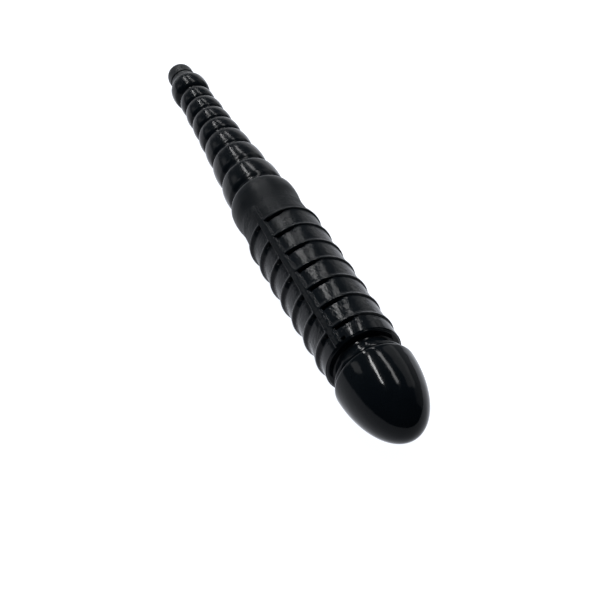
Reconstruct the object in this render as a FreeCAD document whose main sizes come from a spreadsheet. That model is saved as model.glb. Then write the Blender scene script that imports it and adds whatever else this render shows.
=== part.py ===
"""Flexible double-ended elastomer rod, 351 mm long and 42 mm across: a beaded tail, a smooth collar,
a ribbed shaft and a rounded head, all on one straight axis.

The real object is one soft moulding that bends at its grooves.  A rigid solid can't bend, so each
stretch between two grooves is a body of its own, and each groove is a hinge.  Inside the groove a ball
on the tail-side stretch stands in a round seat in the next one, both about the hinge point, so that the
stretches fill the moulding and still turn clear of each other.

Frame: +X runs from the tail to the head, +Z is up, and the origin lies on the surface that the rod rests
on, under the middle of its length.  Each body's own origin is at the middle of its tail-side face.
"""
import FreeCAD, Part
import Sketcher
import os

TAIL_BEADS = 8
RIB_BANDS = 7
TOUCH = 0.001

SIZES = [
    ("stub_radius", 8.3, "tail stub, outside radius"),
    ("stub_length", 11.5, "tail stub, between its two ends"),
    ("stub_end_edge", 3.6, "rounding of the stub's free end"),
    ("bead1_radius", 12.0, "crest radius of each bead, counted from the tail"),
    ("bead2_radius", 11.0, ""),
    ("bead3_radius", 11.8, ""),
    ("bead4_radius", 12.3, ""),
    ("bead5_radius", 13.1, ""),
    ("bead6_radius", 14.0, ""),
    ("bead7_radius", 15.5, ""),
    ("bead8_radius", 17.2, ""),
    ("bead1_length", 21.5, "length of each bead between its two faces"),
    ("bead2_length", 12.8, ""),
    ("bead3_length", 13.6, ""),
    ("bead4_length", 13.2, ""),
    ("bead5_length", 13.2, ""),
    ("bead6_length", 17.0, ""),
    ("bead7_length", 19.9, ""),
    ("bead8_length", 20.5, ""),
    ("bead1_edge", 5.0, "rounding where each bead turns into its grooves"),
    ("bead2_edge", 3.0, ""),
    ("bead3_edge", 3.0, ""),
    ("bead4_edge", 3.0, ""),
    ("bead5_edge", 3.2, ""),
    ("bead6_edge", 3.8, ""),
    ("bead7_edge", 4.6, ""),
    ("bead8_edge", 5.2, ""),
    ("bead_drop", 1.2, "fall of a bead's crown from its crest to its rim"),
    ("shoulder_radius", 19.4, "crest of the collar's rounded shoulder"),
    ("shoulder_length", 19.0, "collar, from its tail-side face to the end of the shoulder's crown"),
    ("shoulder_edge", 6.0, "rounding of the shoulder into its groove"),
    ("collar_radius", 19.3, "plain stretch of the collar beside the first rib"),
    ("collar_length", 36.9, "collar, between its two faces"),
    ("rib_radius", 21.0, "raised ribs, outside radius"),
    ("rib_land", 1.6, "width of a rib along the axis"),
    ("panel_low", 19.4, "panel radius on the head side of a rib"),
    ("panel_high", 20.0, "panel radius where the next rib begins"),
    ("band_length", 13.8, "a rib with the panel behind it"),
    ("last_band_length", 13.3, "the last rib with its panel, as far as the neck"),
    ("front_radius", 19.4, "shaft radius at the neck"),
    ("front_edge", 1.0, "rounding of the shaft's last edge"),
    ("bar_width", 3.0, "raised bar along the shaft, across its top"),
    ("bar_top", 20.9, "bar's top, from the axis"),
    ("bar_angle", 43.0, "bar's place around the axis, in degrees from the top towards -Y"),
    ("bar_run", 13.0, "bar's length on the collar, its round start included"),
    ("step_width", 0.9, "low step along the bar's +Y side"),
    ("step_top", 20.3, "step's top, from the axis"),
    ("pocket_size", 2.3, "square recess beside the bar's end"),
    ("pocket_floor", 18.0, "recess floor, from the axis"),
    ("pocket_rim", 1.2, "wall between the recess and the neck"),
    ("neck_radius", 15.5, "neck between the shaft and the head"),
    ("neck_length", 5.2, "neck, as far as the lip"),
    ("lip_radius", 19.0, "thin lip behind the head"),
    ("lip_length", 3.8, "lip, as far as the head's rim"),
    ("head_radius", 20.9, "head's rim, outside radius"),
    ("nose_length", 40.5, "head, from its rim to its tip"),
    ("groove_gap", 1.5, "clear width of a groove between two faces"),
    ("tail_ball", 4.0, "ball in the tail's grooves"),
    ("shaft_ball", 8.0, "ball in the shaft's grooves and the neck"),
    ("seat_clearance", 0.3, "gap between a ball and its seat"),
]
SIZE = {name: number for name, number, note in SIZES}

doc = FreeCAD.newDocument("flexible_rod")
sheet = doc.addObject("Spreadsheet::Sheet", "Sizes")
for row, (name, number, note) in enumerate(SIZES, start=1):
    sheet.set(f"A{row}", str(number))
    sheet.setAlias(f"A{row}", name)
    if note:
        sheet.set(f"B{row}", note)
doc.recompute()


def formula(terms):
    """A sum of named sizes as an expression; a name with a leading minus is taken away."""
    text = ""
    for term in terms:
        sign = " - " if term.startswith("-") else " + "
        text += sign + "Sizes." + term.lstrip("-")
    return text.lstrip(" +") if text.startswith(" + ") else text


def number(terms):
    """The same sum as a number, for a sketch's first drawing."""
    return sum(-SIZE[term[1:]] if term.startswith("-") else SIZE[term] for term in terms)


def origin_plane(body, role):
    """One of the body's own origin planes."""
    return [part for part in body.Origin.OriginFeatures if part.Role == role][0]


def coordinate(sketch, corner, point, direction, terms):
    """Ties one coordinate of a corner to the sheet, or to the sketch's axis where it is zero."""
    if not terms:
        axis = -2 if direction == "X" else -1
        sketch.addConstraint(Sketcher.Constraint("PointOnObject", corner, point, axis))
        return
    distance = Sketcher.Constraint("Distance" + direction, -1, 1, corner, point, number(terms))
    index = sketch.addConstraint(distance)
    sketch.setExpression(f"Constraints[{index}]", formula(terms))


def outline(body, corners, crown=None):
    """Draws a closed half section: straight lines through the corners, and a crown, an arc that rises
    by bead_drop, in place of the line that starts at the corner numbered crown."""
    sketch = body.newObject("Sketcher::SketchObject", body.Name + "_outline")
    sketch.AttachmentSupport = (origin_plane(body, "XZ_Plane"), [""])
    sketch.MapMode = "FlatFace"
    points = [FreeCAD.Vector(number(along), number(out), 0) for along, out in corners]
    count = len(points)
    for index, first in enumerate(points):
        second = points[(index + 1) % count]
        if index == crown:
            middle = (first + second) * 0.5 + FreeCAD.Vector(0, SIZE["bead_drop"], 0)
            sketch.addGeometry(Part.Arc(first, middle, second), False)
        else:
            sketch.addGeometry(Part.LineSegment(first, second), False)
    # a sketch keeps every arc anticlockwise, so the crown's first point is its head-side end
    for index in range(count):
        following = (index + 1) % count
        end = 1 if index == crown else 2
        start = 2 if following == crown else 1
        sketch.addConstraint(Sketcher.Constraint("Coincident", index, end, following, start))
    for index, (along, out) in enumerate(corners):
        point = 2 if index == crown else 1
        coordinate(sketch, index, point, "X", along)
        coordinate(sketch, index, point, "Y", out)
    return sketch


def crown_radius(sketch, arc, length):
    """Gives the crown the radius at which it rises by bead_drop over the length."""
    chord, rise = SIZE[length], SIZE["bead_drop"]
    start = (chord ** 2 / 4 + rise ** 2) / (2 * rise)
    index = sketch.addConstraint(Sketcher.Constraint("Radius", arc, start))
    rule = f"(Sizes.{length} ^ 2 / 4 + Sizes.bead_drop ^ 2) / (2 * Sizes.bead_drop)"
    sketch.setExpression(f"Constraints[{index}]", rule)


def turn(body, sketch):
    """Turns the half section once around the body's X axis."""
    turned = body.newObject("PartDesign::Revolution", body.Name + "_turned")
    turned.Profile = sketch
    turned.ReferenceAxis = (sketch, ["H_Axis"])
    turned.Angle = 360
    sketch.Visibility = False
    doc.recompute()
    return turned


def circles_at(feature, place, radius):
    """Names the feature's round edges of the given radius whose centre is at the given place."""
    found = []
    for index, edge in enumerate(feature.Shape.Edges, start=1):
        if edge.Degenerated or not isinstance(edge.Curve, Part.Circle):
            continue
        if abs(edge.Curve.Radius - radius) < TOUCH and abs(edge.Curve.Center.x - place) < TOUCH:
            found.append(f"Edge{index}")
    return found


def round_off(body, feature, edges, radius):
    """Rounds the named edges by a size of the sheet."""
    rounding = body.newObject("PartDesign::Fillet", body.Name + "_rounding")
    rounding.Base = (feature, edges)
    rounding.Radius = SIZE[radius]
    rounding.setExpression("Radius", "Sizes." + radius)
    doc.recompute()
    return rounding


def ball(body, length, radius):
    """Adds the ball on the body's head-side face, about the middle of the groove."""
    sphere = body.newObject("PartDesign::AdditiveSphere", body.Name + "_ball")
    sphere.setExpression("Radius", "Sizes." + radius)
    sphere.setExpression("Placement.Base.x", f"Sizes.{length} + Sizes.groove_gap / 2")
    doc.recompute()


def seat(body, radius):
    """Hollows the seat for the neighbour's ball out of the body's tail-side face."""
    uncut = body.Shape.Volume
    sphere = body.newObject("PartDesign::SubtractiveSphere", body.Name + "_seat")
    sphere.setExpression("Radius", f"Sizes.{radius} + Sizes.seat_clearance")
    sphere.setExpression("Placement.Base.x", "-Sizes.groove_gap / 2")
    doc.recompute()
    if body.Shape.Volume >= uncut:
        raise RuntimeError(body.Label + ": the seat cut nothing")


def stand(feature, along, across, floor):
    """Stands a primitive on the bar's line: along the axis, across the bar, and out from the axis."""
    about_axis = FreeCAD.Rotation(FreeCAD.Vector(1, 0, 0), SIZE["bar_angle"])
    feature.Placement = FreeCAD.Placement(FreeCAD.Vector(), about_axis)
    feature.setExpression("Placement.Rotation.Angle", "Sizes.bar_angle")
    turn_cos, turn_sin = "cos(Sizes.bar_angle)", "sin(Sizes.bar_angle)"
    feature.setExpression("Placement.Base.x", along)
    feature.setExpression("Placement.Base.y", f"({across}) * {turn_cos} - ({floor}) * {turn_sin}")
    feature.setExpression("Placement.Base.z", f"({across}) * {turn_sin} + ({floor}) * {turn_cos}")
    doc.recompute()


def block(body, kind, name, along, length, across, width, floor, height):
    """A box on the bar's line, from its tail-side end, its -Y flank and its floor."""
    box = body.newObject("PartDesign::" + kind, body.Name + name)
    box.setExpression("Length", length)
    box.setExpression("Width", width)
    box.setExpression("Height", height)
    stand(box, along, across, floor)


def bar(body, start, length):
    """The raised bar and the step on its +Y side, over the given stretch of the body."""
    flank = "-Sizes.bar_width / 2"
    block(body, "AdditiveBox", "_bar", start, length, flank, "Sizes.bar_width", "0", "Sizes.bar_top")
    widths = "Sizes.bar_width + Sizes.step_width"
    block(body, "AdditiveBox", "_step", start, length, flank, widths, "0", "Sizes.step_top")


def bar_start(body, along):
    """The bar's round start, half a turn about the given place."""
    post = body.newObject("PartDesign::AdditiveCylinder", body.Name + "_bar_start")
    post.setExpression("Radius", "Sizes.bar_width / 2")
    post.setExpression("Height", "Sizes.bar_top")
    stand(post, along, "0", "0")


def stretch(label, before):
    """A new body whose tail-side face stands one groove past the end of the stretch before it."""
    body = doc.addObject("PartDesign::Body", label)
    body.Label = label
    if before is None:
        lengths = ["stub_length"] + [f"bead{index}_length" for index in range(1, TAIL_BEADS + 1)]
        lengths += ["collar_length"] + ["band_length"] * (RIB_BANDS - 1) + ["last_band_length"]
        grooves = len(lengths)
        lengths += ["neck_length", "lip_length", "nose_length"]
        whole = formula(lengths) + f" + {grooves} * Sizes.groove_gap"
        body.setExpression("Placement.Base.x", f"-({whole}) / 2")
    else:
        neighbour, length = before
        place = f"{neighbour}.Placement.Base.x + (Sizes.{length} + Sizes.groove_gap) * 1 mm"
        body.setExpression("Placement.Base.x", place)
    body.setExpression("Placement.Base.z", "Sizes.rib_radius")
    return body


def make_stub():
    """The plain round stub at the tail's end."""
    body = stretch("tail_stub", None)
    corners = [([], []), ([], ["stub_radius"]), (["stub_length"], ["stub_radius"]), (["stub_length"], [])]
    turned = turn(body, outline(body, corners))
    round_off(body, turned, circles_at(turned, 0, SIZE["stub_radius"]), "stub_end_edge")
    ball(body, "stub_length", "tail_ball")
    return body.Name, "stub_length"


def make_bead(index, before):
    """One bead: a crowned barrel with rounded edges."""
    body = stretch(f"bead_{index}", before)
    radius, length = f"bead{index}_radius", f"bead{index}_length"
    rim = [radius, "-bead_drop"]
    sketch = outline(body, [([], []), ([], rim), ([length], rim), ([length], [])], crown=1)
    crown_radius(sketch, 1, length)
    turned = turn(body, sketch)
    edges = circles_at(turned, 0, number(rim)) + circles_at(turned, SIZE[length], number(rim))
    round_off(body, turned, edges, f"bead{index}_edge")
    ball(body, length, "tail_ball")
    seat(body, "tail_ball")
    return body.Name, length


def make_collar(before):
    """The smooth collar: a rounded shoulder, then a plain stretch where the bar begins."""
    body = stretch("collar", before)
    rim = ["shoulder_radius", "-bead_drop"]
    corners = [([], []), ([], rim), (["shoulder_length"], rim),
               (["collar_length"], ["collar_radius"]), (["collar_length"], [])]
    sketch = outline(body, corners, crown=1)
    crown_radius(sketch, 1, "shoulder_length")
    turned = turn(body, sketch)
    round_off(body, turned, circles_at(turned, 0, number(rim)), "shoulder_edge")
    straight = "Sizes.bar_run - Sizes.bar_width / 2"
    bar(body, f"Sizes.collar_length - ({straight})", straight)
    bar_start(body, f"Sizes.collar_length - ({straight})")
    ball(body, "collar_length", "shaft_ball")
    seat(body, "tail_ball")
    return body.Name, "collar_length"


def make_band(index, before):
    """One rib with the sunk panel behind it, and its share of the bar."""
    body = stretch(f"rib_band_{index}", before)
    last = index == RIB_BANDS
    length = "last_band_length" if last else "band_length"
    end_radius = "front_radius" if last else "panel_high"
    corners = [([], []), ([], ["rib_radius"]), (["rib_land"], ["rib_radius"]),
               (["rib_land"], ["panel_low"]), ([length], [end_radius]), ([length], [])]
    turned = turn(body, outline(body, corners))
    if last:
        round_off(body, turned, circles_at(turned, SIZE[length], SIZE[end_radius]), "front_edge")
        bar(body, "0", f"Sizes.{length} - Sizes.pocket_rim")
        uncut = body.Shape.Volume
        block(body, "SubtractiveBox", "_pocket", f"Sizes.{length} - Sizes.pocket_rim - Sizes.pocket_size",
              "Sizes.pocket_size", "Sizes.bar_width / 2 + Sizes.step_width", "Sizes.pocket_size",
              "Sizes.pocket_floor", "Sizes.rib_radius - Sizes.pocket_floor")
        if body.Shape.Volume >= uncut:
            raise RuntimeError("the pocket cut nothing")
    else:
        bar(body, "0", "Sizes." + length)
    ball(body, length, "shaft_ball")
    seat(body, "shaft_ball")
    return body.Name, length


def make_head(before):
    """The neck, the thin lip and the rounded head in one."""
    body = stretch("head", before)
    rim_place = ["neck_length", "lip_length"]
    corners = [([], []), ([], ["neck_radius"]), (["neck_length"], ["neck_radius"]),
               (["neck_length"], ["lip_radius"]), (rim_place, ["lip_radius"]), (rim_place, [])]
    turn(body, outline(body, corners))
    dome = body.newObject("PartDesign::AdditiveEllipsoid", "head_dome")
    dome.Placement = FreeCAD.Placement(FreeCAD.Vector(), FreeCAD.Rotation(FreeCAD.Vector(0, 1, 0), 90))
    dome.Angle1 = 0
    dome.Angle2 = 90
    dome.setExpression("Radius1", "Sizes.nose_length")
    dome.setExpression("Radius2", "Sizes.head_radius")
    dome.setExpression("Radius3", "Sizes.head_radius")
    dome.setExpression("Placement.Base.x", formula(rim_place))
    doc.recompute()
    seat(body, "shaft_ball")


before = make_stub()
for index in range(1, TAIL_BEADS + 1):
    before = make_bead(index, before)
before = make_collar(before)
for index in range(1, RIB_BANDS + 1):
    before = make_band(index, before)
make_head(before)
doc.recompute()

for item in doc.Objects:
    if "Invalid" in item.State or "Error" in item.State:
        raise RuntimeError(f"{item.Label} failed: {item.State}")
bodies = [item for item in doc.Objects if item.TypeId == "PartDesign::Body"]
for body in bodies:
    if body.Shape.isNull() or not body.Shape.isValid() or len(body.Shape.Solids) != 1:
        raise RuntimeError(body.Label + " is not one good solid")

os.makedirs("parts", exist_ok=True)
for body in bodies:
    body.Shape.exportStep(f"parts/{body.Label}.step")
    box = body.Shape.BoundBox
    print(f"{body.Label:12s} x {box.XMin:8.2f} to {box.XMax:8.2f}  volume {body.Shape.Volume / 1000:7.2f} cm3")
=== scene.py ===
"""The flexible elastomer rod as it looks: one soft black moulding with a beaded tail, a smooth collar,
a ribbed shaft with a raised bar along it, and a rounded head, lying on a pale floor.

The moulding is drawn in lengths that reach from the middle of one CAD stretch to the middle of the next,
so that each length holds one groove.  Lengths are in millimetres in the outlines and turned to metres as
the vertices are made.
"""
import math

import bpy
import numpy as np
from mathutils import Matrix, Vector


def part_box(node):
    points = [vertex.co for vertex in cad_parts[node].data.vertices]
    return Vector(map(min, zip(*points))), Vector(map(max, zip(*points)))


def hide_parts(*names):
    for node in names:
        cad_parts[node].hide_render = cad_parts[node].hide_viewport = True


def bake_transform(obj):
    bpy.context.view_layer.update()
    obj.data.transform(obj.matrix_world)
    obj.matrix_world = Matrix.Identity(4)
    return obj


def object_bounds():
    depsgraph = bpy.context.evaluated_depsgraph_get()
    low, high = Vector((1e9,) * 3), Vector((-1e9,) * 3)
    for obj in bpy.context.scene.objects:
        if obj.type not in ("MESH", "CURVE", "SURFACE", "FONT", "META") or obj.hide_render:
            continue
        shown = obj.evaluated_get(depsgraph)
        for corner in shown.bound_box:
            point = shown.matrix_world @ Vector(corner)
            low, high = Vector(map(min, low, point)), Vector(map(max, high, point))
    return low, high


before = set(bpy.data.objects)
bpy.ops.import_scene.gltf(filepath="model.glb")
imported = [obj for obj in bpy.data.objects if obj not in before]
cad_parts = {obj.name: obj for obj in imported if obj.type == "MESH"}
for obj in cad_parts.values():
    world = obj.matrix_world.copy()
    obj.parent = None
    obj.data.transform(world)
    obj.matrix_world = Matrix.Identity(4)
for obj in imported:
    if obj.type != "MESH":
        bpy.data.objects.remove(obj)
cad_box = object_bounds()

MM = 0.001
TUBE_HEIGHT = 1.0       # metres
BEADS = [f"bead_{index}" for index in range(1, 9)]
BANDS = [f"rib_band_{index}" for index in range(1, 8)]
CHAIN = ["tail_stub", *BEADS, "collar", *BANDS, "head"]

AXIS_HEIGHT = (cad_box[0].z + cad_box[1].z) / 2 / MM
GROOVE = 1.5            # clear width of a crease
SEAM_STEP = 0.05        # first ring beside a joint between two lengths, so that their shading meets

# The tail.
STUB_EDGE = 3.6         # rounding of the stub's end
BEAD_EDGES = [5.0, 3.0, 3.0, 3.0, 3.2, 3.8, 4.6, 5.2]
CROWN = 1.2             # how far a bead's crown rises above its rim
CONE_LENGTH = 5.0       # the first bead's barrel begins this far along it, past the cone
CONE_TOP = 9.9          # radius at which the cone runs into the barrel
CONE_HOLLOW = 1.6       # power that hollows the cone
CREASE_DEPTH = 2.0      # crease floor, below the lower of the two crests beside it
STUB_CREASE = 0.3       # the same beside the stub
FILLET = 0.7            # how softly a crease's floor meets the beads

# The collar.
SHOULDER_LENGTH = 19.0
SHOULDER_TOP = 19.4
SHOULDER_EDGE = 6.0
SHOULDER_CUT = 13.0     # the shoulder's barrel is kept up to here
WAIST_RADIUS = 18.45
WAIST = 19.0, 24.0      # where the waist begins and ends, from the collar's tail end
COLLAR_RADIUS = 19.3
COLLAR_STEP = 0.6       # between the collar's rings
BLUR = 13               # rings over which the collar's outline is smoothed

# The ribs and the panels behind them.
RIB_WIDTH = 1.7
RIB_RISE = 0.6          # length over which the tail side of a rib climbs from the panel
RIB_DROP = 0.28         # length over which the head side of a rib falls to the panel
SOFT_DROP = 2.6         # how much longer that is on the -Y side
EDGE_WIDTH = 0.9        # the rib's tail edge is eased over this width
EDGE_DROP = 0.33
PANEL_LOW = 19.3
PANEL_HIGH = 20.0
SIDE_RISE = 0.9         # how much less a panel drops behind its rib on the +Y side than beside the bar
SIDE_FROM = 7.0         # where that begins, from the bar's middle
BLEND_ROUND = 12.0      # length around the rod over which one shape passes into another
SOFT_FROM = 7.0         # length over which the soft drop begins beside the bar
SOFT_TO = 60.0          # where the soft drop has ended on the far side
OPEN_END = 99.0         # no rib ahead of the last panel
FLANK = 0.35            # width of a moulded wall seen from above

# The bar, the thin step on its +Y side, and what is cut beside it.
BAR_ANGLE = 43.0        # bar's place, from the top towards -Y
BAR_HALF = 1.5
BAR_TOP = 20.95
BAR_CROWN = 0.05
BAR_RUN = 13.0          # bar's length on the collar
BAR_LIFT = 0.8          # share of the bar's height that it has where it begins
STEP_LIFT = 0.8         # the step's share of its height on the collar
SOFT_FLANK = 0.4        # the bar's -Y side, drawn out in the tool
KNEE = 2.6              # rounding of a panel's corner at the bar
STEP_WIDTH = 0.9
STEP_TOP = 20.3
STEP_CORNER = 0.8
SLOT_WIDTH = 1.6
SLOT_DEPTH = 1.8
SLOT_REACH = 13.0       # where the slot has faded out, from the bar's wall
SLOT_FADE = 6.0
SLOT_WALL = 0.12        # how far a slot's wall leans over its depth
SLOT_END = 0.25         # the same at the slot's end by the step
NOTCH_WIDTH = 1.9
NOTCH_TAPER = 0.36
NOTCH_DEPTH = 0.9
NOTCH_WALL = 0.4
POCKET = 2.3
POCKET_RIM = 1.2
POCKET_FLOOR = 17.6
POCKET_WALL = 0.15

# The neck and the head.
FRONT_RADIUS = 19.4     # the shaft at its last edge
FRONT_EDGE = 1.0        # rounding of that edge
SHAFT_EASE = 0.6        # the shaft's last edge, moulded back from the CAD's sharp one
NECK_RADIUS = 15.5
NECK_LENGTH = 5.2
LIP_RADIUS = 19.0
LIP_LENGTH = 3.3
LIP_EDGE = 0.6
RIM_EDGE = 2.0


# ---------------------------------------------------------------- places, taken from the CAD

def tail_face(node):
    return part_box(node)[0].x / MM


def crest(node):
    low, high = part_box(node)
    return (high.y - low.y) / 2 / MM


STARTS = {node: tail_face(node) for node in CHAIN}
ENDS = {node: STARTS[after] - GROOVE for node, after in zip(CHAIN, CHAIN[1:])}
ENDS["head"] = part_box("head")[1].x / MM
CRESTS = [crest("tail_stub"), *(crest(node) for node in BEADS), SHOULDER_TOP]


# ---------------------------------------------------------------- outlines: (place along the axis, radius)

def arc(along, out, radius, first, last, steps):
    """Points of an arc; 180 degrees faces the tail, 90 outwards and 0 the head."""
    angles = np.radians(np.linspace(first, last, steps + 1))
    return np.column_stack([along + radius * np.cos(angles), out + radius * np.sin(angles)])


def crowned(start, end, top, edge):
    """A barrel between its two faces, and the radius at which its rounding ends."""
    half, middle = (end - start) / 2, (start + end) / 2
    crown = (half ** 2 + CROWN ** 2) / (2 * CROWN)
    centre = top - crown
    edge_centre = centre + math.sqrt((crown - edge) ** 2 - (half - edge) ** 2)
    tilt = math.degrees(math.atan2(edge_centre - centre, edge - half))
    points = np.vstack([
        arc(start + edge, edge_centre, edge, 180, tilt, 12),
        arc(middle, centre, crown, tilt, 180 - tilt, 24)[1:],
        arc(end - edge, edge_centre, edge, 180 - tilt, 0, 12)[1:],
    ])
    return points, edge_centre


def crease(start, end, before, after, floor):
    """A groove from one wall to the next with a round floor."""
    width = end - start
    bottom = arc((start + end) / 2, floor + width / 2, width / 2, 180, 360, 8)
    wall_before = (before + floor + width / 2) / 2
    wall_after = (after + floor + width / 2) / 2
    return np.vstack([[(start, wall_before)], bottom, [(end, wall_after)]])


def stub_outline():
    start, end, radius = STARTS["tail_stub"], ENDS["tail_stub"], crest("tail_stub")
    face = [(start, radius - STUB_EDGE * share) for share in (1.9, 1.4)]
    round_end = arc(start + STUB_EDGE, radius - STUB_EDGE, STUB_EDGE, 180, 90, 12)
    side = np.column_stack([np.linspace(start + STUB_EDGE + 1, end, 8), np.full(8, radius)])
    return np.vstack([face, round_end, side])


def first_bead_outline():
    """The first bead swells out of the stub through a cone before its crest."""
    start, end = STARTS["bead_1"], ENDS["bead_1"]
    barrel, edge_centre = crowned(start + CONE_LENGTH, end, crest("bead_1"), BEAD_EDGES[0])
    barrel = barrel[barrel[:, 1] > CONE_TOP]
    foot = crest("tail_stub")
    cone_x = np.linspace(start, barrel[0, 0], 12)[:-1]
    share = (cone_x - start) / (barrel[0, 0] - start)
    cone = np.column_stack([cone_x, foot + (barrel[0, 1] - foot) * share ** CONE_HOLLOW])
    return np.vstack([cone, barrel]), edge_centre


def collar_outline():
    """A rounded shoulder, a slight waist and a straight run to the first rib."""
    start, end = STARTS["collar"], ENDS["collar"]
    shoulder, edge_centre = crowned(start, start + SHOULDER_LENGTH, SHOULDER_TOP, SHOULDER_EDGE)
    shoulder = shoulder[shoulder[:, 0] < start + SHOULDER_CUT]
    first = start + SHOULDER_CUT + 0.4
    plain_x = np.arange(first, end - 1.0, COLLAR_STEP)
    fall = np.interp(
        plain_x, [first, start + WAIST[0], start + WAIST[1], end],
        [shoulder[-1, 1] - 0.02, WAIST_RADIUS, WAIST_RADIUS, COLLAR_RADIUS],
    )
    kernel = np.hanning(BLUR)
    padded = np.pad(fall, BLUR // 2, mode="reflect", reflect_type="odd")
    plain = np.column_stack([plain_x, np.convolve(padded, kernel / kernel.sum(), "valid")])
    return np.vstack([shoulder, plain, [(end, COLLAR_RADIUS)]]), edge_centre


def head_outline():
    """The neck, the lip that ends in a rounded rim, and the half ellipse of the head."""
    start = STARTS["head"]
    lip, rim, tip = start + NECK_LENGTH, start + NECK_LENGTH + LIP_LENGTH, ENDS["head"]
    length, top = tip - rim, crest("head")
    neck = [(start + share * NECK_LENGTH, NECK_RADIUS) for share in (0.0, 0.3, 0.6, 0.9)]
    lip_wall = [(lip, NECK_RADIUS + 0.8), (lip, LIP_RADIUS - 2 * LIP_EDGE)]
    lip_edge = arc(lip + LIP_EDGE, LIP_RADIUS - LIP_EDGE, LIP_EDGE, 180, 90, 5)
    lip_side = [(lip + 1.6, LIP_RADIUS), (lip + 2.8, LIP_RADIUS - 0.25), (rim - 0.5, LIP_RADIUS - 0.45)]
    rim_edge = arc(rim + RIM_EDGE, top - RIM_EDGE - 0.05, RIM_EDGE, 180, 92, 8)
    turns = np.radians(np.linspace(4, 88.5, 56))
    dome = np.column_stack([rim + length * np.sin(turns), top * np.cos(turns)])
    return np.vstack([neck, lip_wall, lip_edge, lip_side, rim_edge, dome])


# ---------------------------------------------------------------- angles around the axis, finer near the bar

NEAR_BAR = 22.0         # degrees on each side of the bar that are drawn finely
AROUND = np.concatenate([np.arange(-NEAR_BAR, NEAR_BAR, 0.55), np.arange(NEAR_BAR, 360 - NEAR_BAR, 2.2)])
COUNT = len(AROUND)
FROM_TOP = np.radians(BAR_ANGLE - AROUND)
# Distance from the bar's middle along the shaft's surface, positive towards +Y.
ACROSS = np.radians(np.where(AROUND > 180, AROUND - 360, AROUND)) * PANEL_HIGH


def ramp(distance, width):
    """0 at nothing, 1 past the width, with soft ends."""
    share = np.clip(distance / width, 0, 1)
    return share * share * (3 - 2 * share)


def corner(first, second, radius):
    """Distance from a rounded inside corner, given the distances from its two sides."""
    inside = (first < radius) & (second < radius)
    rounded = radius - np.hypot(radius - first, radius - second)
    return np.where(inside, rounded, np.minimum(first, second))


def band_stations(length, last):
    """Places along a band, from its rib's tail side to the next one's, close together at the walls."""
    behind_rib = [
        np.arange(-RIB_RISE, 0.4, 0.15), np.arange(0.5, 1.6, 0.35), np.arange(RIB_WIDTH - 0.02, 2.2, 0.08),
        np.arange(2.25, 3.6, 0.15),
    ]
    if last:
        pocket = length - POCKET_RIM - POCKET
        ahead = [np.arange(3.8, pocket - 0.4, 0.5), np.arange(pocket - 0.2, length - 1.02, 0.1)]
    else:
        ahead = [np.arange(3.8, length - 2.5, 0.55), np.arange(length - 2.4, length + 0.5, 0.22)]
    return np.concatenate(behind_rib + ahead)


def shaft_radius(past_rib, span, last):
    """Radius over the whole turn at one place of the shaft: past_rib is the distance from the tail edge of
    the rib, and span is the distance from there to the next rib or, on the last band, to the shaft's end."""
    to_next = OPEN_END if last else span - past_rib
    panel_low = PANEL_LOW + SIDE_RISE * ramp(ACROSS - SIDE_FROM, BLEND_ROUND)
    panel = panel_low + (PANEL_HIGH - panel_low) * np.clip(past_rib / span, 0, 1)
    right = ACROSS > 0
    beside = np.abs(ACROSS) - BAR_HALF
    from_edge = past_rib - RIB_WIDTH
    soft = ramp(-ACROSS - BAR_HALF, SOFT_FROM) * ramp(SOFT_TO + ACROSS, BLEND_ROUND)
    hollow = ramp(np.full(COUNT, from_edge), RIB_DROP + SOFT_DROP * soft)
    ahead = np.full(COUNT, to_next)
    knee = np.where(right, np.minimum(ahead, beside), corner(ahead, beside, KNEE))
    rise = np.minimum(ramp(knee, RIB_RISE), ramp(beside, np.where(right, FLANK, SOFT_FLANK)))
    sunk = hollow * rise
    top = BAR_TOP - EDGE_DROP * np.clip(1 - past_rib / EDGE_WIDTH, 0, 1) * ramp(beside, EDGE_WIDTH)
    radius = top + (panel - top) * sunk
    crown = BAR_CROWN * (1 - np.clip(np.abs(ACROSS) / BAR_HALF, 0, 1) ** 2)
    radius = radius + np.where(sunk < 0.01, crown, 0)
    off_step = ramp(corner(ahead, beside, STEP_CORNER) - STEP_WIDTH, FLANK)
    step = STEP_TOP + (panel - STEP_TOP) * off_step
    radius = np.where(right & (beside > 0), np.maximum(step, radius), radius)
    radius = radius - slots(from_edge, beside, right)
    return pocketed(radius, past_rib, span, beside, right) if last else radius


def slots(from_edge, beside, right):
    """How deep the slots behind a rib are: long on the bar's +Y side, and a small notch on its -Y side."""
    if from_edge <= 0:
        return np.zeros(COUNT)
    opening = ramp(from_edge, SLOT_WALL)
    along = ramp(beside - STEP_WIDTH, SLOT_END) * ramp(SLOT_REACH - beside, SLOT_FADE)
    long_slot = SLOT_DEPTH * opening * ramp(SLOT_WIDTH - from_edge, SLOT_WALL) * along
    notch = np.clip((NOTCH_WIDTH - NOTCH_TAPER * beside - from_edge) / NOTCH_WALL, 0, 1) * opening
    return np.where(right, long_slot, NOTCH_DEPTH * notch * ramp(beside, 0.2))


def pocketed(radius, past_rib, span, beside, right):
    """The square pocket beside the bar's end, by the shaft's last edge."""
    inside = 1.0
    for distance in (span - POCKET_RIM - past_rib, beside - STEP_WIDTH):
        inside = inside * ramp(distance, POCKET_WALL) * ramp(POCKET - distance, POCKET_WALL)
    return np.where(right, radius - (radius - POCKET_FLOOR) * inside, radius)


# ---------------------------------------------------------------- the lengths of the moulding

def plain_rings(points):
    return [(along, np.full(COUNT, out)) for along, out in points]


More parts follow.
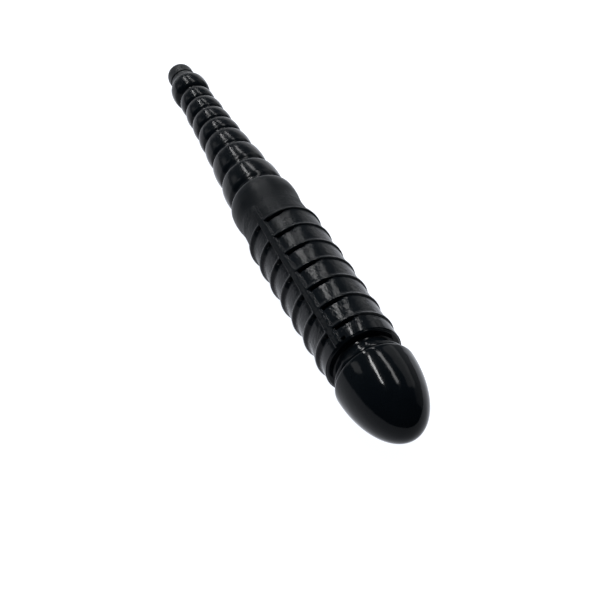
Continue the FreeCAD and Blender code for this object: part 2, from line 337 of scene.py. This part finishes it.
def collar_rings():
    """The collar's outline with the start of the bar risen out of it."""
    points, edge_centre = collar_outline()
    end = ENDS["collar"]
    begin = end - BAR_RUN
    rings = []
    before_bar = begin - 0.5
    fine = np.arange(before_bar, begin + 4.0, 0.2)
    places = np.sort(np.concatenate([points[:, 0], fine]))
    for along in places:
        plain = np.interp(along, points[:, 0], points[:, 1])
        if along < before_bar:
            rings.append((along, np.full(COUNT, plain)))
            continue
        ahead = along - (begin + BAR_HALF)
        round_start = np.hypot(np.minimum(ahead, 0), ACROSS)
        inside = ramp(BAR_HALF - round_start, FLANK)
        lift = BAR_LIFT + (1 - BAR_LIFT) * min(max((along - begin) / BAR_RUN, 0), 1)
        bar = plain + (BAR_TOP - plain) * inside * lift
        shelf = ramp(BAR_HALF + STEP_WIDTH - round_start, FLANK) * (ACROSS > 0)
        step = plain + (STEP_TOP - plain) * shelf * lift * STEP_LIFT
        rings.append((along, np.maximum(bar, step)))
    return rings, edge_centre


def stretch_rings():
    """Rings of every stretch, without the creases, and the radii where the walls of its two ends stop."""
    rings, walls = {}, {}
    rings["tail_stub"] = plain_rings(stub_outline())
    walls["tail_stub"] = (0, crest("tail_stub"))
    points, low = first_bead_outline()
    rings["bead_1"], walls["bead_1"] = plain_rings(points), (crest("tail_stub"), low)
    for node, edge in list(zip(BEADS, BEAD_EDGES))[1:]:
        points, low = crowned(STARTS[node], ENDS[node], crest(node), edge)
        rings[node], walls[node] = plain_rings(points), (low, low)
    rings["collar"], low = collar_rings()
    walls["collar"] = (low, COLLAR_RADIUS)
    for node in BANDS:
        last = node == BANDS[-1]
        length = ENDS[node] - STARTS[node]
        length -= SHAFT_EASE if last else 0
        span = length + (0 if last else GROOVE)
        rings[node] = [
            (STARTS[node] + past, shaft_radius(past, span, last)) for past in band_stations(length, last)
        ]
    rings["head"] = plain_rings(head_outline())
    return rings, walls


def all_rings():
    """One run of rings from the tail's end to the head's tip, with the creases put in."""
    rings, walls = stretch_rings()
    run = []
    for before, node in zip([None, *CHAIN], CHAIN):
        if node in BEADS or node == "collar":
            high, low = walls[before][1], walls[node][0]
            run += plain_rings(crease(ENDS[before], STARTS[node], high, low, min(high, low) - GROOVE))
        if node == "head":
            run += front_edge()
        run += rings[node]
    return filled(run)


def filled(run):
    """The tail's rings with each crease filled up to its floor, as the thick moulding has it."""
    middles = np.array([STARTS[node] - GROOVE / 2 for node in [*BEADS, "collar"]])
    depths = [STUB_CREASE] + [CREASE_DEPTH] * len(BEADS)
    floors = [min(before, after) - depth for before, after, depth in zip(CRESTS, CRESTS[1:], depths)]
    tail_begins, tail_ends = STARTS["tail_stub"] + STUB_EDGE + 1, STARTS["collar"] + SHOULDER_LENGTH / 2
    smoothed = []
    for along, radius in run:
        if tail_begins <= along < tail_ends:
            floor = floors[int(np.argmin(np.abs(middles - along)))]
            above = radius - floor
            radius = floor + (above + np.sqrt(above ** 2 + FILLET ** 2)) / 2
        smoothed.append((along, radius))
    return smoothed


def front_edge():
    """The shaft's last edge, rounded over into the neck."""
    end = ENDS["rib_band_7"] - SHAFT_EASE
    rounded = arc(end - FRONT_EDGE, FRONT_RADIUS - FRONT_EDGE, FRONT_EDGE, 88, 0, 6)
    wall = [(end, 17.0), (end, NECK_RADIUS + 0.4), (end + 0.5, NECK_RADIUS)]
    return plain_rings(np.vstack([rounded, wall]))


def middle_of(node):
    return (STARTS[node] + ENDS[node]) / 2


def ring_points(along, radius):
    return np.column_stack([
        np.full(COUNT, along), -radius * np.sin(FROM_TOP), radius * np.cos(FROM_TOP) + AXIS_HEIGHT,
    ])


def closed_length(name, rings, material):
    """A closed mesh through the rings, with a flat cap at each end."""
    rows = [ring_points(along, radius) for along, radius in rings]
    first, last = rings[0][0], rings[-1][0]
    tip = last + (0.02 if name.endswith("head") else 0)
    poles = np.array([(first, 0, AXIS_HEIGHT), (tip, 0, AXIS_HEIGHT)])
    vertices = np.vstack([*rows, poles]) * MM
    total = len(rows) * COUNT
    index = np.arange(COUNT)
    following = (index + 1) % COUNT
    faces = []
    for row in range(len(rows) - 1):
        base, over = row * COUNT, (row + 1) * COUNT
        faces.append(np.column_stack([base + index, over + index, over + following, base + following]))
    quads = np.vstack(faces)
    tail_cap = np.column_stack([np.full(COUNT, total), index, following])
    head_cap = np.column_stack([np.full(COUNT, total + 1), total - COUNT + following, total - COUNT + index])
    mesh = bpy.data.meshes.new(name)
    mesh.from_pydata(vertices.tolist(), [], quads.tolist() + tail_cap.tolist() + head_cap.tolist())
    mesh.validate()
    mesh.update()
    mesh.polygons.foreach_set("use_smooth", np.ones(len(mesh.polygons), bool))
    ends = np.zeros(len(mesh.edges) * 2, int)
    mesh.edges.foreach_get("vertices", ends)
    ends = ends.reshape(-1, 2)
    rim = ((ends < COUNT).all(1)) | (((ends >= total - COUNT) & (ends < total)).all(1))
    sharp = mesh.attributes.get("sharp_edge") or mesh.attributes.new("sharp_edge", "BOOLEAN", "EDGE")
    sharp.data.foreach_set("value", rim)
    mesh.materials.append(material)
    return add_object(name, mesh)


def ring_at(run, along):
    """A ring at exactly this place, between its two neighbours in the run."""
    places = np.array([place for place, radius in run])
    after = int(np.argmax(places > along))
    (x0, r0), (x1, r1) = run[after - 1], run[after]
    share = (along - x0) / (x1 - x0)
    return along, r0 + (r1 - r0) * share


def lengths_of(run):
    """Cuts the run at the middles of the stretches: one length for each groove."""
    cuts = [run[0][0]] + [middle_of(node) for node in CHAIN[1:-1]] + [run[-1][0]]
    for number, (low, high) in enumerate(zip(cuts, cuts[1:])):
        inner = [ring for ring in run if low + SEAM_STEP < ring[0] < high - SEAM_STEP]
        if number == 0:
            begin = [ring for ring in run if ring[0] <= low + SEAM_STEP]
        else:
            begin = [ring_at(run, low), ring_at(run, low + SEAM_STEP)]
        if number == len(cuts) - 2:
            finish = [ring for ring in run if ring[0] >= high - SEAM_STEP]
        else:
            finish = [ring_at(run, high - SEAM_STEP), ring_at(run, high)]
        yield CHAIN[number], CHAIN[number + 1], begin + inner + finish


# ---------------------------------------------------------------- materials

# Sizes of the surface's patterns, in metres.
CLOUD = 0.009           # patches of bloom and wear
SINK = 0.006            # dimples where the thick wall shrank
SINK_DEPTH = 0.00012
PEEL = 0.002            # the skin's peel is a few tenths of a millimetre, drawn coarser so that it shows
FLOOR_CLOUD = 0.03      # slow unevenness of the opal sheet
TOOL_ENDS = -0.176, 0.176       # where the tool begins and ends, in metres
TOOL_FINISH = [                 # place along the rod in metres, roughness left by the tool, and gloss
    (-0.176, 0.5, 0.8), (-0.163, 0.46, 0.8), (-0.154, 0.21, 0.42), (-0.022, 0.2, 0.42), (-0.012, 0.34, 0.36),
    (0.0, 0.48, 0.3), (0.018, 0.46, 0.3), (0.022, 0.32, 0.34), (0.07, 0.19, 0.4), (0.124, 0.14, 0.42),
    (0.134, 0.11, 0.42), (0.176, 0.11, 0.42),
]


def linear(hex_colour):
    """sRGB hex to the linear colour that the shaders use."""
    parts = [int(hex_colour[place:place + 2], 16) / 255 for place in (1, 3, 5)]
    light = [part / 12.92 if part <= 0.04045 else ((part + 0.055) / 1.055) ** 2.4 for part in parts]
    return (*light, 1.0)


def node(tree, kind, settings=None, inputs=None, **links):
    """Adds a node, sets its properties and constant inputs, and links other inputs by name."""
    made = tree.nodes.new(kind)
    for name, value in (settings or {}).items():
        setattr(made, name, value)
    for name, value in (inputs or {}).items():
        made.inputs[name].default_value = value
    for name, source in links.items():
        tree.links.new(source, made.inputs[name.replace("_", " ")])
    return made


def new_material(name):
    material = bpy.data.materials.new(name)
    material.use_nodes = True
    tree = material.node_tree
    tree.nodes.clear()
    return material, tree


def moulded_elastomer(name, peel_depth):
    """Black soft thermoplastic elastomer, injection moulded: nearly black, with a wet gloss where the tool
    was polished and a satin face where it was not.  Faint sink from the thick soft wall makes the highlights
    waver, and a fine peel breaks them up.  The filler and bloom leave it less mirror-like than plain TPE."""
    material, tree = new_material(name)
    place = node(tree, "ShaderNodeTexCoord").outputs["Object"]
    along = node(tree, "ShaderNodeSeparateXYZ", Vector=place).outputs["X"]
    cloudy = node(tree, "ShaderNodeTexNoise", inputs={"Scale": 1 / CLOUD, "Detail": 3.0}, Vector=place)
    fine = node(tree, "ShaderNodeTexNoise", inputs={"Scale": 1 / PEEL, "Detail": 3.0}, Vector=place)
    wave = node(tree, "ShaderNodeTexNoise", inputs={"Scale": 1 / SINK, "Detail": 1.0}, Vector=place)
    tint = node(tree, "ShaderNodeMix", {"data_type": "RGBA"},
                {"A": linear("#05080b"), "B": linear("#090d11")}, Factor=cloudy.outputs["Fac"])
    share = node(tree, "ShaderNodeMapRange",
                 inputs={"From Min": TOOL_ENDS[0], "From Max": TOOL_ENDS[1]}, Value=along)
    tool = node(tree, "ShaderNodeValToRGB", Fac=share.outputs["Result"])
    zones = tool.color_ramp.elements
    zones.remove(zones[1])
    for number, (x, roughness, gloss) in enumerate(TOOL_FINISH):
        at = (x - TOOL_ENDS[0]) / (TOOL_ENDS[1] - TOOL_ENDS[0])
        zone = zones[0] if number == 0 else zones.new(at)
        zone.position = at
        zone.color = (roughness, gloss, 0, 1)
    finish = node(tree, "ShaderNodeSeparateColor", Color=tool.outputs["Color"])
    wear = node(tree, "ShaderNodeMapRange",
                inputs={"To Min": 0.75, "To Max": 1.25}, Value=cloudy.outputs["Fac"])
    surface = node(tree, "ShaderNodeMath", {"operation": "MULTIPLY"})
    tree.links.new(finish.outputs["Red"], surface.inputs[0])
    tree.links.new(wear.outputs["Result"], surface.inputs[1])
    sink = node(tree, "ShaderNodeBump",
                inputs={"Strength": 1.0, "Distance": SINK_DEPTH}, Height=wave.outputs["Fac"])
    peel = node(tree, "ShaderNodeBump", inputs={"Strength": 1.0, "Distance": peel_depth},
                Height=fine.outputs["Fac"], Normal=sink.outputs["Normal"])
    shader = node(tree, "ShaderNodeBsdfPrincipled", inputs={"IOR": 1.2}, Base_Color=tint.outputs["Result"],
                  Roughness=surface.outputs["Value"], Specular_IOR_Level=finish.outputs["Green"],
                  Normal=peel.outputs["Normal"])
    node(tree, "ShaderNodeOutputMaterial", Surface=shader.outputs["BSDF"])
    return material


def opal_floor():
    """Opal acrylic light table: pale and evenly lit from below, so that nothing throws a hard shadow."""
    material, tree = new_material("opal_acrylic_lit")
    place = node(tree, "ShaderNodeTexCoord").outputs["Object"]
    cloud = node(tree, "ShaderNodeTexNoise", inputs={"Scale": 1 / FLOOR_CLOUD, "Detail": 2.0}, Vector=place)
    tone = node(tree, "ShaderNodeMix", {"data_type": "RGBA"},
                {"A": linear("#585858"), "B": linear("#5c5c5c")}, Factor=cloud.outputs["Fac"])
    shader = node(tree, "ShaderNodeBsdfPrincipled", Base_Color=tone.outputs["Result"], inputs={
        "Roughness": 0.9, "Emission Color": (0.99, 1.02, 1.1, 1), "Emission Strength": 1.0,
    })
    node(tree, "ShaderNodeOutputMaterial", Surface=shader.outputs["BSDF"])
    return material


# ---------------------------------------------------------------- camera, floor and light

def add_object(name, data, matrix=None):
    made = bpy.data.objects.new(name, data)
    if matrix is not None:
        made.matrix_world = matrix
    bpy.context.scene.collection.objects.link(made)
    return made


def set_camera():
    """Above the head's end and to its -Y side, looking back along the rod."""
    turned, down, tilt = 0.39167, 0.71323, 0.00688
    forward = Vector((-math.cos(down) * math.cos(turned), math.cos(down) * math.sin(turned), -math.sin(down)))
    level = forward.cross(Vector((0, 0, 1))).normalized()
    upright = level.cross(forward)
    right = math.cos(tilt) * level + math.sin(tilt) * upright
    axes = Matrix((right, right.cross(forward), -forward)).transposed()
    lens = bpy.data.cameras.new("camera")
    lens.sensor_width = 36.0
    lens.lens = 64.84
    placed = Matrix.Translation((0.46438, -0.17173, 0.38526)) @ axes.to_4x4()
    bpy.context.scene.camera = add_object("camera", lens, placed)


def lay_floor():
    mesh = bpy.data.meshes.new("floor")
    side = 2.5
    corners = [(-side, -side, 0), (side, -side, 0), (side, side, 0), (-side, side, 0)]
    mesh.from_pydata(corners, [], [(0, 1, 2, 3)])
    mesh.materials.append(opal_floor())
    add_object("floor", mesh)


def lit_rectangle(name, size, brightness):
    """A rectangular lamp; brightness is what its face looks like, so the power follows its area."""
    lamp = bpy.data.lights.new(name, "AREA")
    lamp.shape = "RECTANGLE"
    lamp.size, lamp.size_y = size
    lamp.energy = brightness * size[0] * size[1] * math.pi
    return lamp


def soft_light(name, centre, aim, size, brightness):
    """A pale wall or window that faces a place."""
    facing = (Vector(aim) - Vector(centre)).to_track_quat("-Z", "Y").to_matrix().to_4x4()
    add_object(name, lit_rectangle(name, size, brightness), Matrix.Translation(centre) @ facing)


def tube_light(name, tail_end, head_end, width, brightness):
    """A long tube overhead between two places, shining straight down."""
    low, high = Vector((*tail_end, TUBE_HEIGHT)), Vector((*head_end, TUBE_HEIGHT))
    run = high - low
    turned = Matrix.Rotation(math.atan2(run.y, run.x), 4, "Z")
    lamp = lit_rectangle(name, (run.length, width), brightness)
    add_object(name, lamp, Matrix.Translation((low + high) / 2) @ turned)


def light_room():
    """Two broken rows of tubes overhead and a few dim pale surfaces; the room is dark at the head's end."""
    tube_light("tube_left_far", (-1.7, -0.21), (-0.7, -0.26), 0.045, 60.0)
    tube_light("tube_left_near", (-0.52, -0.16), (0.08, -0.3), 0.045, 90.0)
    tube_light("tube_right_far", (-1.7, 0.21), (-0.7, 0.24), 0.08, 20.0)
    tube_light("tube_right_near", (-0.52, 0.28), (0.12, 0.36), 0.13, 17.0)
    soft_light("ceiling_right", (-0.5, 1.3, 1.0), (0.1, 0, 0), (1.2, 0.8), 1.0)
    soft_light("window_high", (-0.8, -1.2, 1.0), (0, 0, 0), (0.34, 0.42), 2.4)
    soft_light("window_left", (-0.9, -0.85, 0.42), (0, 0, 0), (0.32, 0.32), 1.2)
    soft_light("wall_right", (-0.5, 1.6, 0.5), (0, 0, 0), (2.4, 0.9), 0.3)
    soft_light("wall_tail", (-2.0, 0.5, 0.35), (0, 0, 0.1), (3.0, 0.6), 0.9)
    world = bpy.data.worlds.new("room")
    world.use_nodes = True
    tree = world.node_tree
    tree.nodes.clear()
    direction = node(tree, "ShaderNodeTexCoord").outputs["Generated"]
    towards_head = node(tree, "ShaderNodeSeparateXYZ", Vector=direction).outputs["X"]
    glow = node(tree, "ShaderNodeMapRange", {"interpolation_type": "SMOOTHSTEP"},
                {"From Min": 0.1, "From Max": -0.7, "To Min": 0.015, "To Max": 0.22}, Value=towards_head)
    shade = node(tree, "ShaderNodeBackground",
                 inputs={"Color": linear("#d4dbe4")}, Strength=glow.outputs["Result"])
    node(tree, "ShaderNodeOutputWorld", Surface=shade.outputs["Background"])
    bpy.context.scene.world = world
    bpy.context.scene.view_settings.view_transform = "Standard"


# ---------------------------------------------------------------- put together

def build():
    set_camera()
    lay_floor()
    light_room()
    smooth = moulded_elastomer("elastomer_moulded_polished", 0.00001)
    grained = moulded_elastomer("elastomer_moulded_uneven", 0.0002)
    for before, after, rings in lengths_of(all_rings()):
        material = grained if after in BANDS else smooth
        piece = closed_length(f"moulding_{before}_to_{after}", rings, material)
        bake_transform(piece)
        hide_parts(before, *(["head"] if after == "head" else []))


build()
